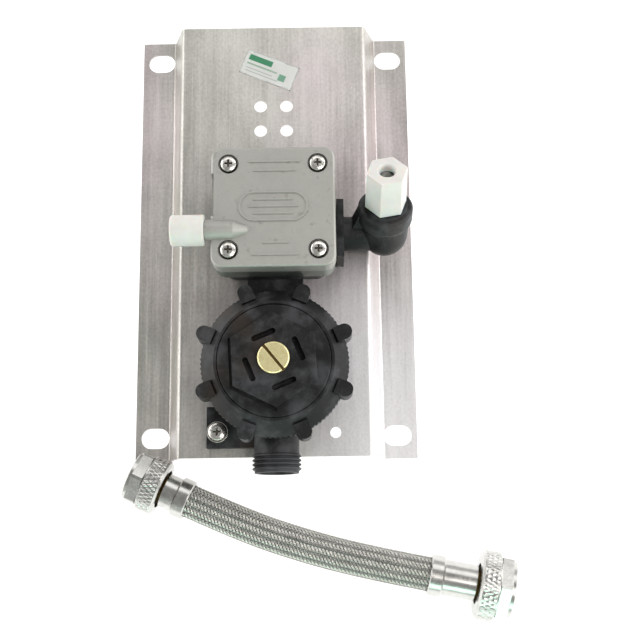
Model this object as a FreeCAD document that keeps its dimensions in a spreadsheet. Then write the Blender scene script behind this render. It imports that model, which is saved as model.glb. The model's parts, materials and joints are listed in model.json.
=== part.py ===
import FreeCAD, Part
import math
import os
import re
import Sketcher

# Air-operated diaphragm water valve on a raised wall plate, with its braided supply hose.
# Lengths in millimetres.  The plate's wall face is Z = 0, +Z points away from the wall,
# +Y runs up the plate and the origin is the middle of the plate's wall face.

V = FreeCAD.Vector
doc = FreeCAD.newDocument("air_valve")
sheet = doc.addObject("Spreadsheet::Sheet", "D")

SIZES = [
    # wall plate, pressed from one sheet
    ("plate_width", 127.0), ("plate_length", 203.2), ("sheet_thick", 1.2), ("hat_rise", 16.5),
    ("panel_width", 86.0), ("hat_foot", 96.2), ("bend_inside", 1.0),
    ("slot_long", 12.7), ("slot_wide", 9.2), ("slot_gap_x", 109.4), ("slot_gap_y", 182.4),
    ("rig_hole", 6.0), ("rig_pitch", 12.1), ("rig_y", 55.8),
    ("label_long", 25.8), ("label_wide", 12.3), ("label_thick", 0.15), ("label_y", 80.0),
    # where the valve stands on the plate
    ("valve_x", 1.2), ("cup_y", -64.8), ("head_y", 1.2),
    # moulded valve body
    ("cup_r", 25.5), ("cup_bore_r", 20.5), ("floor_thick", 2.5), ("wall_gap", 0.25),
    ("thread_r", 10.45), ("spigot_r", 9.6), ("spigot_end_y", -109.5), ("thread_long", 8.2),
    ("thread_pitch", 1.81), ("inlet_r", 6.2), ("strainer_bore_r", 7.6), ("strainer_deep", 15.0),
    ("collar_r", 27.0), ("rim_r", 24.2), ("seat_r", 8.0), ("seat_bore_r", 5.5),
    ("passage_r", 3.6), ("bridge_r", 6.0), ("neck_wide", 24.0),
    ("block_size", 46.0), ("block_rise", 14.5), ("block_corner", 5.0),
    ("tab_left_x", -29.6), ("tab_low_y", -97.7), ("tab_wide", 21.6), ("tab_long", 17.9),
    ("tab_thick", 4.0), ("tab_screw_x", -24.8), ("tab_screw_y", -90.9), ("screw_r", 2.1),
    ("outlet_y", -3.3), ("outlet_drop", 8.1), ("flange_x", 28.2), ("flange_thick", 3.2),
    ("flange_wide", 25.9), ("flange_rise", 18.5), ("socket_r", 5.05),
    # ring nut, bonnet and flow screw
    ("ring_wall", 3.7), ("rib_reach", 4.0), ("rib_wide", 6.5), ("rib_count", 8.0),
    ("lip_gap", 0.15), ("thread_gap", 0.3), ("diaphragm_thick", 2.0),
    ("bonnet_face_r", 23.9), ("hex_corner_r", 20.1), ("hex_rise", 3.0), ("groove_wide", 1.5),
    ("groove_deep", 1.2), ("vent_r", 11.06), ("vent_long", 10.7), ("vent_wide", 2.4),
    ("vent_deep", 4.5), ("flow_head_r", 6.65), ("flow_head_tall", 2.8), ("flow_shank_r", 2.5),
    ("flow_slot", 1.2), ("flow_gap", 1.0), ("gland_r", 3.5),
    ("coil_wire", 0.8), ("coil_r", 6.3),
    # servo head
    ("gasket_thick", 0.8), ("base_size", 52.2), ("base_tall", 11.2), ("film_thick", 1.0),
    ("cover_size", 53.0), ("cover_tall", 8.5), ("cover_corner", 5.0), ("screw_gap", 38.1),
    ("chamber_r", 17.0), ("base_pocket", 7.0), ("cover_pocket", 4.0), ("head_screw_r", 1.9),
    ("pan_r", 3.7), ("pan_tall", 2.7), ("pan_seat", 1.8), ("pan_bore_r", 4.35),
    ("base_bevel", 1.6), ("cover_rim", 1.2),
    ("piston_r", 14.0), ("piston_thick", 2.0), ("pin_r", 2.0), ("pin_gap", 0.1),
    ("needle_r", 0.9), ("pilot_hole_r", 1.3), ("pilot_way_r", 0.7), ("pilot_seal_r", 2.3), ("servo_wire", 0.8),
    ("servo_coil_r", 6.0),
    ("air_y", -8.9), ("air_boss_r", 4.4), ("air_tip_x", -9.2), ("nipple_r", 3.6),
    ("cap_r", 6.65), ("cap_long", 14.5), ("cap_face_x", -27.7), ("air_hole_r", 1.2),
    ("air_tube_r", 2.1),
    # outlet elbow and tube nut
    ("elbow_x", 49.6), ("elbow_tube_r", 7.65), ("elbow_r", 10.4), ("collar_tip_r", 12.0),
    ("elbow_lean", 27.0), ("elbow_bore_r", 2.6), ("tube_r", 3.3), ("nipple_thread_r", 6.2),
    ("nut_flats", 16.2), ("nut_tall", 19.4), ("nut_foot", 18.8), ("nut_taper", 0.8),
    # supply hose
    ("hose_r", 7.5), ("hose_bore_r", 5.0), ("floor_gap", 0.15), ("crimp_wall", 1.25),
    ("crimp_long", 6.0), ("sleeve_wall", 0.1), ("left_sleeve", 12.3), ("right_sleeve", 20.5),
    ("left_swivel_r", 12.0), ("left_flats", 21.6), ("right_swivel_r", 14.4),
    ("right_flats", 25.0), ("knurl_long", 8.0), ("swivel_long", 15.0), ("swivel_hole_r", 8.6),
    ("swivel_bore_r", 10.2), ("stem_r", 4.9), ("stem_bore_r", 3.2), ("stem_flange_r", 9.7),
]

# levels and positions that follow from the sizes above
DERIVED = [
    ("riser_angle", "atan((hat_rise-sheet_thick)/((hat_foot-panel_width)/2))"),
    ("bend_shift", "sheet_thick*tan(riser_angle/2)"),
    ("inlet_z", "hat_rise+thread_r+wall_gap"),
    ("outlet_z", "hat_rise+outlet_drop"),
    ("floor_z", "hat_rise+floor_thick"),
    ("skirt_z", "inlet_z+thread_r+0.6"),
    ("ledge_z", "skirt_z+0.75"),
    ("seat_z", "ledge_z-2.5"),
    ("collar_top", "skirt_z+6.75"),
    ("clamp_z", "ledge_z+diaphragm_thick"),
    ("roof_z", "clamp_z+6"),
    ("lip_z", "collar_top+2.1"),
    ("ring_top", "lip_z+3.4"),
    ("face_z", "ring_top+0.1"),
    ("hex_z", "face_z+hex_rise"),
    ("flow_head_z", "hex_z+flow_gap"),
    ("block_z", "hat_rise+block_rise"),
    ("base_z", "block_z+gasket_thick"),
    ("film_z", "base_z+base_tall"),
    ("cover_z", "film_z+film_thick"),
    ("cover_top", "cover_z+cover_tall"),
    ("air_z", "cover_top-1"),
    ("flange_out_x", "flange_x+flange_thick"),
    ("ring_r", "collar_r+thread_gap+ring_wall"),
    ("ring_tip_r", "ring_r+rib_reach"),
    ("ring_bore_r", "bonnet_face_r+lip_gap"),
    ("crimp_r", "hose_r+crimp_wall"),
    ("sleeve_r", "hose_r+sleeve_wall"),
    ("left_level", "left_swivel_r+floor_gap"),
    ("right_level", "right_swivel_r+floor_gap"),
]


def write_sheet():
    """Fills the sheet with the driving sizes and the levels that follow from them."""
    for row, (name, value) in enumerate(SIZES + DERIVED, start=1):
        sheet.set("A%d" % row, name)
        text = str(value) if isinstance(value, float) else "=" + value
        sheet.set("B%d" % row, text)
        sheet.setAlias("B%d" % row, name)
    doc.recompute()


write_sheet()


def bind(text):
    """Writes a size expression with the sheet's name before each size."""
    return re.sub(r"[A-Za-z_]\w*(?![\w(])", lambda found: "D." + found.group(0), str(text))


def number(text):
    """Present value of a size expression."""
    value = sheet.evalExpression(bind(text))
    return float(getattr(value, "Value", value))


SPIN = {
    "Z": FreeCAD.Rotation(), "-Z": FreeCAD.Rotation(V(1, 0, 0), 180),
    "X": FreeCAD.Rotation(V(0, 1, 0), 90), "-X": FreeCAD.Rotation(V(0, 1, 0), -90),
    "Y": FreeCAD.Rotation(V(1, 0, 0), -90), "-Y": FreeCAD.Rotation(V(1, 0, 0), 90),
}
LEAN = FreeCAD.Rotation(V(1, 0, 0), -number("elbow_lean"))
parts = {}


def place(thing, at, facing="Z"):
    """Stands a piece at a position given by three expressions, its own +Z facing as named."""
    turn_to = SPIN[facing] if isinstance(facing, str) else facing
    thing.Placement = FreeCAD.Placement(V(*[number(part) for part in at]), turn_to)
    for axis, part in zip("xyz", at):
        thing.setExpression("Placement.Base." + axis, bind(part))
    return thing


def named(thing, label):
    """Marks a finished sub-part for export."""
    thing.Label = label
    parts[label] = thing
    return thing


def new_body(name):
    return doc.addObject("PartDesign::Body", name)


def sketch_on(body, role, height="0"):
    """Empty sketch on one of the body's own origin planes, lifted by height."""
    sketch = body.newObject("Sketcher::SketchObject", body.Name + "_sketch")
    plane = [face for face in body.Origin.OriginFeatures if face.Role == role][0]
    sketch.AttachmentSupport = [(plane, "")]
    sketch.MapMode = "FlatFace"
    sketch.AttachmentOffset = FreeCAD.Placement(V(0, 0, number(height)), FreeCAD.Rotation())
    sketch.setExpression("AttachmentOffset.Base.z", bind(height))
    return sketch


def outline(sketch, points):
    """Closed straight-sided outline, every corner held by two bound distances."""
    corners = [part.split() if isinstance(part, str) else part for part in points]
    spots = [(number(a), number(b)) for a, b in corners]
    first, count = sketch.GeometryCount, len(spots)
    for i in range(count):
        start, end = spots[i], spots[(i + 1) % count]
        sketch.addGeometry(Part.LineSegment(V(start[0], start[1], 0), V(end[0], end[1], 0)), False)
    for i in range(count):
        sketch.addConstraint(Sketcher.Constraint("Coincident", first + i, 2,
                                                 first + (i + 1) % count, 1))
        for kind, spot, text in zip(("DistanceX", "DistanceY"), spots[i], corners[i]):
            held = sketch.addConstraint(Sketcher.Constraint(kind, -1, 1, first + i, 1, spot))
            sketch.setExpression("Constraints[%d]" % held, bind(text))
    return sketch


def pad(body, sketch, length, taper=None, symmetric=False):
    solid = body.newObject("PartDesign::Pad", body.Name + "_pad")
    solid.Profile = sketch
    solid.setExpression("Length", bind(length))
    if symmetric:
        solid.Midplane = True
    if taper:
        solid.setExpression("TaperAngle", bind(taper))
    body.Tip = solid
    return solid


def pocket(body, sketch, depth):
    cut_away = body.newObject("PartDesign::Pocket", body.Name + "_pocket")
    cut_away.Profile = sketch
    cut_away.setExpression("Length", bind(depth))
    body.Tip = cut_away
    return cut_away


def dress(body, kind, edges):
    """Fillet or chamfer on the named edges of the body's latest feature."""
    below = body.Tip
    trim = body.newObject(kind, body.Name + "_trim")
    trim.Base = (below, edges)
    body.Tip = trim
    return trim


def turned(name, at, profile, facing="Z"):
    """Round piece: a half outline of 'radius height' corners turned about its own Z axis."""
    body = new_body(name)
    sketch = outline(sketch_on(body, "XZ_Plane"), profile)
    solid = body.newObject("PartDesign::Revolution", name + "_turn")
    solid.Profile = sketch
    solid.ReferenceAxis = (sketch, ["V_Axis"])
    solid.Angle = 360
    body.Tip = solid
    return place(body, at, facing)


def prism(name, at, points, length, facing="Z", taper=None):
    """Straight-sided piece: an outline in the XY plane raised by length."""
    body = new_body(name)
    pad(body, outline(sketch_on(body, "XY_Plane"), points), length, taper)
    return place(body, at, facing)


def block(name, at, width, depth, height, corner):
    """Block with rounded upright edges, centred on X and Y."""
    body = new_body(name)
    half_w, half_d = "(%s)/2" % width, "(%s)/2" % depth
    pad(body, outline(sketch_on(body, "XY_Plane"), [
        ("-" + half_w, "-" + half_d), (half_w, "-" + half_d), (half_w, half_d),
        ("-" + half_w, half_d)]), height)
    doc.recompute()
    edges = ["Edge%d" % (i + 1) for i, edge in enumerate(body.Tip.Shape.Edges)
             if abs(edge.tangentAt(edge.FirstParameter).z) > 0.99]
    dress(body, "PartDesign::Fillet", edges).setExpression("Radius", bind(corner))
    return place(body, at)


def cylinder(radius, height, at, facing="Z"):
    solid = doc.addObject("Part::Cylinder", "cylinder")
    solid.setExpression("Radius", bind(radius))
    solid.setExpression("Height", bind(height))
    return place(solid, at, facing)


def box(width, depth, height, at):
    """Box whose lowest corner stands at the given position."""
    solid = doc.addObject("Part::Box", "box")
    for prop, text in (("Length", width), ("Width", depth), ("Height", height)):
        solid.setExpression(prop, bind(text))
    return place(solid, at)


def joined(*pieces):
    whole = doc.addObject("Part::MultiFuse", "joined")
    whole.Shapes = list(pieces)
    whole.Refine = True
    return whole


def cut(base, *tools):
    """Base less all the tools."""
    result = doc.addObject("Part::Cut", "cut")
    result.Base = base
    result.Tool = tools[0] if len(tools) == 1 else joined(*tools)
    result.Refine = True
    return result


def group(label, pieces):
    """Several like pieces kept as one named group of solids."""
    compound = doc.addObject("Part::Compound", label)
    compound.Links = list(pieces)
    return named(compound, label)


def hexagon(corner_r, turn=0):
    """Corners of a regular hexagon as expressions, the first at the given angle."""
    return [("(%s)*cos(%g)" % (corner_r, turn + 60 * i), "(%s)*sin(%g)" % (corner_r, turn + 60 * i))
            for i in range(6)]


# ---- mounting plate ---------------------------------------------------------------------

def slot_tool(x, y):
    """Through tool for one round-ended wall slot lying along X."""
    reach = "(slot_long-slot_wide)/2"
    ends = [cylinder("slot_wide/2", "10", ("%s%s%s" % (x, sign, reach), y, "-4"))
            for sign in "-+"]
    middle = box("slot_long-slot_wide", "slot_wide", "10", (x + "-" + reach, y + "-slot_wide/2", "-4"))
    return joined(middle, *ends)


def mirrored(row):
    """The same corners on the other side of the YZ plane, in reverse order."""
    return [("-(%s)" % x, z) for x, z in reversed(row)]


def mounting_plate():
    body = new_body("plate")
    half = ["plate_width/2 0", "hat_foot/2-bend_shift 0", "panel_width/2-bend_shift hat_rise-sheet_thick"]
    half = [part.split() for part in half]
    upper = [("panel_width/2", "hat_rise"), ("hat_foot/2", "sheet_thick"),
             ("plate_width/2", "sheet_thick")]
    section = half + mirrored(half) + mirrored(upper) + upper
    pad(body, outline(sketch_on(body, "XZ_Plane"), section), "plate_length", symmetric=True)
    doc.recompute()
    for spots, radius in (
            ((("panel_width/2", "hat_rise"), ("hat_foot/2-bend_shift", "0")), "bend_inside+sheet_thick"),
            ((("panel_width/2-bend_shift", "hat_rise-sheet_thick"), ("hat_foot/2", "sheet_thick")),
             "bend_inside")):
        wanted = [(number(x), number(z)) for x, z in spots]
        edges = ["Edge%d" % (i + 1) for i, edge in enumerate(body.Tip.Shape.Edges)
                 if edge.Length > number("plate_length") - 1
                 and any(abs(abs(edge.CenterOfMass.x) - x) < 0.05
                         and abs(edge.CenterOfMass.z - z) < 0.05 for x, z in wanted)]
        dress(body, "PartDesign::Fillet", edges).setExpression("Radius", bind(radius))
        doc.recompute()
    slots = [slot_tool(sx + "slot_gap_x/2", sy + "slot_gap_y/2") for sx in ("-", "") for sy in ("-", "")]
    rig = [cylinder("rig_hole/2", "30", (sx + "rig_pitch/2", "rig_y" + sy + "rig_pitch/2", "0"))
           for sx in ("-", "") for sy in ("-", "+")]
    fixing = [cylinder("screw_r+0.15", "30", ("tab_screw_x", "tab_screw_y", "0")),
              cylinder("screw_r+0.3", "30", ("2*valve_x-tab_screw_x-0.6", "tab_screw_y-0.3", "0"))]
    rear = [cylinder("head_screw_r", "30", (x, y, "0")) for x, y in REAR_SCREWS]
    named(cut(body, *(slots + rig + fixing + rear)), "mounting_plate")


REAR_SCREWS = (("valve_x-14", "head_y+13"), ("valve_x+14", "head_y+13"))


def label_sticker():
    body = new_body("label")
    half = ("label_long/2", "label_wide/2")
    pad(body, outline(sketch_on(body, "XY_Plane"), [
        ("-" + half[0], "-" + half[1]), (half[0], "-" + half[1]), half, ("-" + half[0], half[1])]),
        "label_thick")
    place(body, ("valve_x-3.1", "label_y", "hat_rise"), FreeCAD.Rotation(V(0, 0, 1), -23))
    named(body, "label_sticker")


# ---- moulded body, strainer and its fixings ---------------------------------------------

def spigot_profile():
    """Half outline of the inlet spigot from the cup's axis outwards, ridged at its end."""
    reach = "cup_y-spigot_end_y"
    rows = ["0 0", "spigot_r 0", "spigot_r %s-thread_long" % reach]
    for i in range(4):
        foot = "%s-thread_long+%g*thread_pitch" % (reach, i + 0.1)
        rows += ["thread_r-0.95 %s" % foot, "thread_r %s+0.55" % foot,
                 "thread_r %s+1.05" % foot, "thread_r-0.95 %s+1.6" % foot]
    rows += ["thread_r-0.95 %s" % reach, "0 %s" % reach]
    return rows


def valve_body():
    cup_at = ("valve_x", "cup_y", "hat_rise")
    outer = joined(
        cylinder("cup_r", "skirt_z-hat_rise", cup_at),
        cylinder("collar_r", "collar_top-skirt_z+1.5", ("valve_x", "cup_y", "skirt_z-1.5")),
        turned("spigot", ("valve_x", "cup_y", "inlet_z"), spigot_profile(), "-Y"),
        box("neck_wide", "head_y-block_size/2-cup_y", "block_z-hat_rise",
            ("valve_x-neck_wide/2", "cup_y", "hat_rise")),
        box("neck_wide", "head_y-cover_size/2-cup_y-1.2", "block_z-hat_rise+4",
            ("valve_x-neck_wide/2", "cup_y", "hat_rise")),
        block("seat_block", ("valve_x", "head_y", "hat_rise"), "block_size", "block_size",
              "block_z-hat_rise", "block_corner"),
        box("flange_x-valve_x", "18", "block_z-hat_rise", ("valve_x", "outlet_y-9", "hat_rise")),
        box("flange_thick", "flange_wide", "flange_rise",
            ("flange_x", "outlet_y-flange_wide/2", "hat_rise+wall_gap")),
        box("tab_wide", "tab_long", "tab_thick", ("tab_left_x", "tab_low_y", "hat_rise")))
    hollow = cut(outer, cylinder("cup_bore_r", "ledge_z-floor_z", ("valve_x", "cup_y", "floor_z")),
                 cylinder("rim_r", "20", ("valve_x", "cup_y", "ledge_z")))
    with_seat = joined(
        hollow,
        cylinder("seat_r", "seat_z-floor_z+0.5", ("valve_x", "cup_y", "floor_z-0.5")),
        cylinder("bridge_r", "cup_bore_r+1", ("valve_x", "cup_y", "outlet_z"), "Y"))
    bores = [
        cylinder("seat_bore_r", "30", ("valve_x", "cup_y", "floor_z")),
        cylinder("passage_r", "head_y+4.5-cup_y", ("valve_x", "cup_y", "outlet_z"), "Y"),
        cylinder("passage_r", "40", ("valve_x", "outlet_y", "outlet_z"), "X"),
        cylinder("socket_r", "10", ("flange_out_x-6.2", "outlet_y", "outlet_z"), "X"),
        cylinder("inlet_r", "cup_y-spigot_end_y-cup_bore_r+2", ("valve_x", "spigot_end_y-1", "inlet_z"), "Y"),
        cylinder("strainer_bore_r", "strainer_deep+1", ("valve_x", "spigot_end_y-1", "inlet_z"), "Y"),
        cylinder("5", "5", ("valve_x", "head_y", "block_z-1.4")),
        cylinder("pilot_hole_r", "8", ("valve_x", "head_y", "outlet_z")),
        cylinder("3", "passage_r-0.1+0.5", ("valve_x", "head_y", "outlet_z")),
        cylinder("pilot_way_r", "head_y-cup_y-rim_r-2.4", ("valve_x", "cup_y+rim_r-1.6", "block_z-1.6"), "Y"),
        cylinder("pilot_way_r", "ledge_z-block_z+2", ("valve_x", "cup_y+rim_r-1.6", "block_z-1.6")),
        cylinder("screw_r+0.1", "20", ("tab_screw_x", "tab_screw_y", "hat_rise-1")),
    ]
    bores += [cylinder("head_screw_r+0.1", "20", (x, y, "block_z-11.5")) for x, y in COVER_SCREWS]
    bores += [cylinder("head_screw_r-0.1", "9.5", (x, y, "hat_rise-1")) for x, y in REAR_SCREWS]
    named(cut(with_seat, *bores), "valve_body")


COVER_SCREWS = [("valve_x%sscrew_gap/2" % sx, "head_y%sscrew_gap/2" % sy) for sx in "-+" for sy in "-+"]


def inlet_fittings():
    depth = "strainer_deep"
    named(turned("strainer", ("valve_x", "spigot_end_y+1.2", "inlet_z"), [
        "strainer_bore_r-2.4 0", "strainer_bore_r-0.1 0", "strainer_bore_r-0.1 1.6",
        "strainer_bore_r-1.2 1.6", "inlet_r-1.9 %s-3.6" % depth, "0 %s-3.6" % depth,
        "0 %s-4.6" % depth, "inlet_r-2.9 %s-4.6" % depth, "strainer_bore_r-2.4 1.6"], "Y"),
        "inlet_strainer")
    named(turned("flow_disc", ("valve_x", "spigot_end_y+strainer_deep-0.9", "inlet_z"), [
        "1.6 -1.1", "strainer_bore_r-0.1 -1.1", "strainer_bore_r-0.1 0.9", "1.6 0.9"], "Y"),
        "flow_washer")


def screw_blank(name, at, head_r, head_tall, shank_r, shank_long, facing="Z"):
    """Pan-head screw, its head's underside at the given position and its shank behind."""
    return turned(name, at, [
        "0 -(%s)" % shank_long, "%s-0.5 -(%s)" % (shank_r, shank_long),
        "%s 0.6-(%s)" % (shank_r, shank_long), "%s 0" % shank_r, "%s 0" % head_r,
        "%s 0.45*(%s)" % (head_r, head_tall), "0.86*(%s) 0.8*(%s)" % (head_r, head_tall),
        "0.5*(%s) %s" % (head_r, head_tall), "0 %s" % head_tall], facing)


def cross_recess(at, span, depth, top):
    """Cross-shaped driver recess sunk from the top of a head."""
    x, y, z = at
    arms = [box(a, b, depth, (x + "-(%s)/2" % a, y + "-(%s)/2" % b, "%s+%s-(%s)" % (z, top, depth)))
            for a, b in ((span, "0.9"), ("0.9", span))]
    return joined(*arms)


def body_fixings():
    head = ("tab_screw_x", "tab_screw_y", "hat_rise+tab_thick+0.9")
    named(turned("tab_washer", ("tab_screw_x", "tab_screw_y", "hat_rise+tab_thick"), [
        "screw_r+0.2 0", "4.6 0", "4.6 0.9", "screw_r+0.2 0.9"]), "tab_washer")
    named(cut(screw_blank("tab_screw_blank", head, "4.2", "2.6", "screw_r", "hat_rise+tab_thick+0.9-11.4"),
              cross_recess(head, "3.6", "1.5", "2.6")), "tab_screw")
    under = "hat_rise-sheet_thick"
    nut = prism("tab_nut_blank", ("tab_screw_x", "tab_screw_y", under + "-3.2"), hexagon("4.6"), "3.2")
    named(cut(nut, cylinder("screw_r+0.05", "10", ("tab_screw_x", "tab_screw_y", under + "-5"))), "tab_nut")
    rear = []
    for i, (x, y) in enumerate(REAR_SCREWS):
        at = (x, y, under)
        blank = screw_blank("rear_screw_%d" % i, at, "3.5", "2.3", "head_screw_r-0.15", "8", "-Z")
        rear.append(cut(blank, joined(*[box(a, b, "1.4", (x + "-(%s)/2" % a, y + "-(%s)/2" % b, under + "-2.4"))
                                        for a, b in (("3.2", "0.9"), ("0.9", "3.2"))])))
    group("rear_screws", rear)


# ---- diaphragm, bonnet, ring nut and flow screw -----------------------------------------

def coil(name, at, mean_r, wire, low, high, turns):
    """Round-wire compression spring with flat-lying end turns."""
    pitch = (high - low - wire) / turns
    helix = Part.makeHelix(pitch, high - low - wire, mean_r)
    start = V(mean_r, 0, 0)
    ring = Part.Wire([Part.makeCircle(wire / 2, start, V(0, 1, pitch / (6.2832 * mean_r)))])
    solid = Part.Wire(helix).makePipeShell([ring], True, True)
    spring = doc.addObject("Part::Feature", name)
    spring.Shape = solid
    return place(spring, (at[0], at[1], "%s+%g" % (at[2], wire / 2)))


def diaphragm_set():
    at = ("valve_x", "cup_y", "seat_z")
    rim = "ledge_z-seat_z"
    blank = turned("diaphragm_blank", at, [
        "3 0", "15.5 0", "17 0.9", "19 %s-0.2" % rim, "20.6 %s" % rim, "rim_r-0.2 %s" % rim,
        "rim_r-0.2 %s+diaphragm_thick" % rim, "20.6 %s+diaphragm_thick" % rim,
        "18.4 %s+1.2" % rim, "16.2 2", "3 2"])
    named(cut(blank, cylinder("1", "6", ("valve_x", "cup_y+rim_r-1.6", "ledge_z-1"))), "main_diaphragm")
    named(turned("insert", at, [
        "0.6 -3.4", "3.4 -3.4", "4.4 -2.4", "4.4 0", "2.9 0", "2.9 2", "12 2", "12 3.2", "10.8 3.8",
        "4.2 3.8", "4.2 5.8", "0.6 5.8"]), "diaphragm_insert")
    low, high = number("seat_z+3.8"), number("roof_z")
    named(coil("diaphragm_coil", ("valve_x", "cup_y", "seat_z+3.8"), number("coil_r"),
               number("coil_wire"), low, high, 3.5), "diaphragm_spring")


def bonnet():
    at = ("valve_x", "cup_y", "0")
    body = turned("bonnet_blank", at, [
        "2.56 roof_z-1.6", "5 roof_z-1.6", "5 roof_z", "19.2 roof_z", "20.3 roof_z-1.2",
        "20.3 clamp_z", "bonnet_face_r clamp_z", "bonnet_face_r collar_top+0.3",
        "collar_r-0.2 collar_top+0.3", "collar_r-0.2 lip_z", "bonnet_face_r lip_z",
        "bonnet_face_r face_z-0.5", "bonnet_face_r-0.5 face_z", "gland_r face_z",
        "gland_r roof_z+2.6", "2.56 roof_z+2.6"])
    doc.recompute()
    turn = 33.0
    raised = sketch_on(body, "XY_Plane", "face_z-groove_deep")
    pad_at = outline(raised, hexagon("hex_corner_r", turn))
    outline(pad_at, hexagon("gland_r+1.2", turn))
    trench = sketch_on(body, "XY_Plane", "face_z")
    outline(trench, hexagon("hex_corner_r+groove_wide", turn)[2:5]
            + hexagon("hex_corner_r-0.4", turn)[4:1:-1])
    pocket(body, trench, "groove_deep")
    pad(body, pad_at, "groove_deep+hex_rise")
    vents = []
    for angle in (22.5, 112.5, 202.5, 292.5):
        centre = ("valve_x+vent_r*cos(%g)" % angle, "cup_y+vent_r*sin(%g)" % angle,
                  "hex_z-vent_deep")
        tool = block("vent", centre, "vent_wide", "vent_long", "vent_deep+1", "vent_wide/2-0.05")
        place(tool, centre, FreeCAD.Rotation(V(0, 0, 1), angle))
        vents.append(tool)
    channel = box("2", "6", "roof_z-clamp_z-0.5", ("valve_x-1", "cup_y+18", "clamp_z"))
    hub = cylinder("gland_r+1.8", "hex_z-face_z+1", ("valve_x", "cup_y", "face_z-1"))
    whole = joined(body, hub)
    gland = cylinder("gland_r", "hex_z-roof_z", ("valve_x", "cup_y", "roof_z+2.6"))
    named(cut(whole, gland, channel, *vents), "bonnet")


def flow_screw():
    at = ("valve_x", "cup_y", "flow_head_z")
    ring_low = "-(flow_head_z-roof_z-4.9)"
    blank = turned("flow_blank", at, [
        "0 -(flow_head_z-roof_z)-2", "flow_shank_r-1 -(flow_head_z-roof_z)-2",
        "flow_shank_r -(flow_head_z-roof_z)-1", "flow_shank_r %s-0.75" % ring_low,
        "flow_shank_r-0.2 %s-0.75" % ring_low, "flow_shank_r-0.2 %s+0.75" % ring_low,
        "flow_shank_r %s+0.75" % ring_low, "flow_shank_r 0", "flow_head_r 0",
        "flow_head_r flow_head_tall-0.5", "flow_head_r-0.5 flow_head_tall", "0 flow_head_tall"])
    slot = box("20", "flow_slot", "5", ("0", "0", "0"))
    spin = FreeCAD.Rotation(V(0, 0, 1), -51)
    place(slot, ("valve_x-10*cos(51)-flow_slot/2*sin(51)", "cup_y+10*sin(51)-flow_slot/2*cos(51)",
                 "flow_head_z+flow_head_tall-1.5"), spin)
    named(cut(blank, slot), "flow_screw")
    ring = doc.addObject("Part::Torus", "flow_ring")
    ring.setExpression("Radius1", bind("(gland_r+flow_shank_r-0.2)/2"))
    ring.setExpression("Radius2", bind("(gland_r-flow_shank_r+0.2)/2"))
    named(place(ring, ("valve_x", "cup_y", "roof_z+4.9")), "flow_screw_ring")


def ring_nut():
    at = ("valve_x", "cup_y", "0")
    body = turned("ring_blank", at, [
        "collar_r+thread_gap skirt_z", "ring_r-0.6 skirt_z", "ring_r skirt_z+0.6",
        "ring_r skirt_z+5.4", "ring_r-0.5 skirt_z+6", "ring_bore_r+1.3 ring_top-0.2",
        "ring_bore_r+1.1 ring_top",
        "ring_bore_r ring_top", "ring_bore_r lip_z", "collar_r+thread_gap lip_z"])
    doc.recompute()
    half = "rib_wide/2"
    foot = "collar_r+thread_gap+0.4"
    tip = [("ring_tip_r-%s+%s*cos(%d)" % (half, half, angle), "%s*sin(%d)" % (half, angle))
           for angle in range(-90, 91, 20)]
    shape = sketch_on(body, "XY_Plane", "skirt_z")
    outline(shape, [(foot, "-" + half)] + tip + [(foot, half)])
    rib = pad(body, shape, "ring_top-skirt_z-1.6")
    repeat = body.newObject("PartDesign::PolarPattern", "ribs")
    repeat.Originals = [rib]
    repeat.Axis = (shape, ["N_Axis"])
    repeat.Angle = 360
    body.Tip = repeat
    repeat.setExpression("Occurrences", bind("rib_count"))
    place(body, at, FreeCAD.Rotation(V(0, 0, 1), 22.5))
    named(body, "ring_nut")


# ---- servo head -------------------------------------------------------------------------

def servo_base():
    at = ("valve_x", "head_y", "block_z")
    gasket = block("gasket_blank", at, "block_size", "block_size", "gasket_thick", "block_corner")
    holes = [cylinder("head_screw_r+0.15", "40", (x, y, "block_z-1")) for x, y in COVER_SCREWS]
    named(cut(gasket, cylinder("5", "5", ("valve_x", "head_y", "block_z-1")), *holes), "head_gasket")
    low = block("base_blank", ("valve_x", "head_y", "base_z"), "base_size", "base_size",
                "base_tall", "cover_corner")
    doc.recompute()
    lowest = ["Edge%d" % (i + 1) for i, edge in enumerate(low.Tip.Shape.Edges)
              if edge.CenterOfMass.z < 0.01]
    dress(low, "PartDesign::Chamfer", lowest).setExpression("Size", bind("base_bevel"))
    holes = [cylinder("head_screw_r+0.15", "40", (x, y, "base_z-1")) for x, y in COVER_SCREWS]
    named(cut(low, cylinder("chamber_r", "base_pocket+1", ("valve_x", "head_y", "film_z-base_pocket")),
              cylinder("pin_r+pin_gap", "30", ("valve_x", "head_y", "base_z-1")),
              cylinder("0.8", "30", ("valve_x+12", "head_y+8", "base_z+1.5"), "Y"), *holes),
          "servo_base")


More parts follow.
